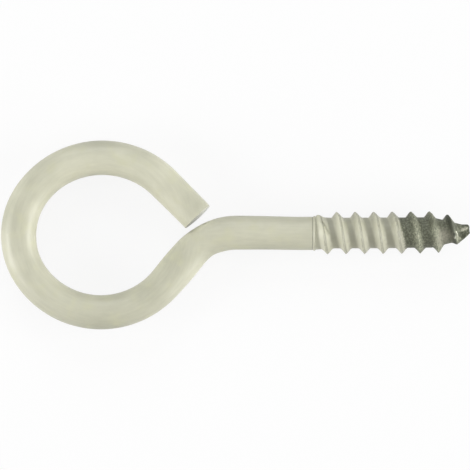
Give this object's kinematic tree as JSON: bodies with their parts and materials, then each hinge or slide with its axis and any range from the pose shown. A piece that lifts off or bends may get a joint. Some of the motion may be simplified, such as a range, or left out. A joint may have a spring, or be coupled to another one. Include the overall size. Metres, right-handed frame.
{
  "type": "screw eye",
  "caption": "Open screw eye of round wire: a ring with a narrow mouth on a plain shank, with a coarse wood thread and a blunt point, for hanging things from timber.",
  "frame": {"origin": "on the shank's axis at the shoulder, where the plain wire ends and the thread begins", "axes": "+X along the shank towards the point, +Y across the eye towards its cut end, +Z square to the eye's plane, which lies flat"},
  "size_m": [0.0506, 0.0204, 0.0046],
  "materials": {
    "coated_steel": "satin off-white coating on the eye, shank and upper thread; bare dull zinc-plated steel towards the point"
  },
  "bodies": {
    "root": {"screw_eye": "coated_steel"}
  },
  "joints": []
}
